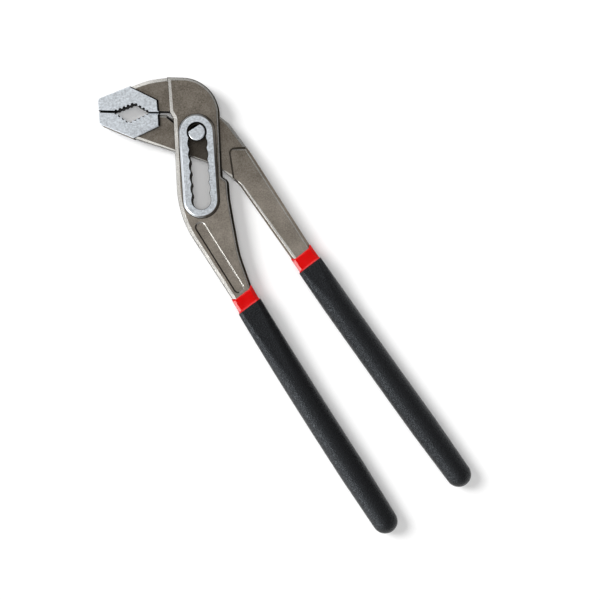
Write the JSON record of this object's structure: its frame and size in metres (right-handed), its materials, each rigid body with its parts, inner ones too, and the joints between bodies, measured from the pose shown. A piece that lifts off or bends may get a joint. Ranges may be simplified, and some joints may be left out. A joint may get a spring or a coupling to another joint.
{
  "type": "water pump pliers",
  "caption": "Water pump pliers: one arm passes through the slotted head of the other and shifts along its notched slot on a pivot pin; toothed pipe jaws, red-ringed black dipped handles.",
  "frame": {"origin": "on the pivot's axis, in the plane that the tool lies on, with the pivot in the tightest notch and the jaws closed", "axes": "+Z along the pivot, out of the face that the picture shows; +Y along the adjusting slot towards its tightest notch; +X towards the through arm's handle"},
  "size_m": [0.1666, 0.2259, 0.013],
  "materials": {
    "forged_steel": "blasted chrome vanadium steel, ground bright on the jaw pads and the slot's boss",
    "ground_steel": "ground bright",
    "red_dip": "glossy dipped plastic",
    "black_dip": "matt, finely pebbled dipped plastic"
  },
  "bodies": {
    "slotted_arm": {"slotted_arm": "forged_steel", "slotted_arm_red_coat": "red_dip", "slotted_arm_black_grip": "black_dip"},
    "pivot_pin": {"pivot_pin": "ground_steel"},
    "through_arm": {"through_arm": "forged_steel", "through_arm_red_coat": "red_dip", "through_arm_black_grip": "black_dip"}
  },
  "joints": [
    {"name": "slot_slide", "type": "slide", "parent": "slotted_arm", "child": "pivot_pin", "axis": [0, -1, 0], "range_m": [0, 0.03252]},
    {"name": "jaw_hinge", "type": "hinge", "parent": "pivot_pin", "child": "through_arm", "pos_m": [0, 0, 0.0065], "axis": [0, 0, 1], "range_deg": [0, 60]}
  ]
}
